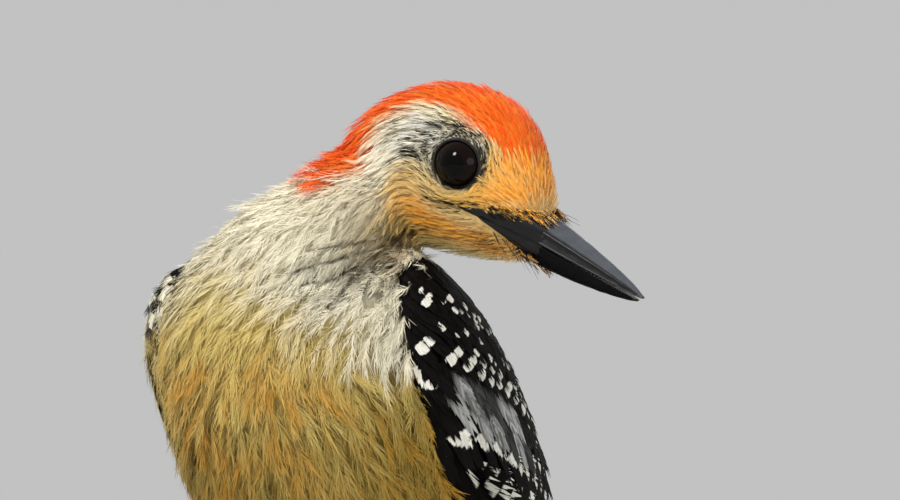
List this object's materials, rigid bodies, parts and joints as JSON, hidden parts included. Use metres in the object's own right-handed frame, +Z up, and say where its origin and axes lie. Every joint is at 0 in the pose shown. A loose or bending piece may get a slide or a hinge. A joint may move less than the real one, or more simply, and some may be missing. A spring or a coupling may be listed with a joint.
{
  "type": "red-bellied woodpecker display model",
  "caption": "Life-size perched male red-bellied woodpecker looking down over its shoulder, gripping a short cut branch on two rods over a round base.",
  "frame": {"origin": "centre of the round base's underside", "axes": "+Z up, -Y towards the front, from which the breast and the head's right side are seen, +X the way the bill points"},
  "size_m": [0.116, 0.116, 0.1831],
  "materials": {
    "bill": "satin black horn",
    "eye": "wet dark red-brown",
    "face_plumage": "soft hair-like feathers, red crown",
    "body_plumage": "soft cream and ochre feathers",
    "barred_plumage": "black vanes barred and spotted white",
    "leg_scale": "scaled grey-green skin",
    "claw": "dark horn",
    "bark": "rough bark",
    "stand_wood": "dark satin wood",
    "stand_steel": "brushed"
  },
  "bodies": {
    "root": {"bill_upper": "bill", "bill_lower": "bill", "eye_left": "eye", "eye_right": "eye", "head": "face_plumage", "neck": "body_plumage", "trunk": "body_plumage", "wing_left": "barred_plumage", "primaries_left": "barred_plumage", "wing_right": "barred_plumage", "primaries_right": "barred_plumage", "tail": "barred_plumage", "thigh_left": "body_plumage", "thigh_right": "body_plumage", "tarsus_left": "leg_scale", "tarsus_right": "leg_scale", "toe_1_left": "leg_scale", "toe_2_left": "leg_scale", "toe_3_left": "leg_scale", "toe_4_left": "leg_scale", "toe_1_right": "leg_scale", "toe_2_right": "leg_scale", "toe_3_right": "leg_scale", "toe_4_right": "leg_scale", "claw_toe_1_left": "claw", "claw_toe_2_left": "claw", "claw_toe_3_left": "claw", "claw_toe_4_left": "claw", "claw_toe_1_right": "claw", "claw_toe_2_right": "claw", "claw_toe_3_right": "claw", "claw_toe_4_right": "claw", "perch": "bark", "stand_base": "stand_wood", "stand_rod_left": "stand_steel", "stand_rod_right": "stand_steel"}
  },
  "joints": []
}
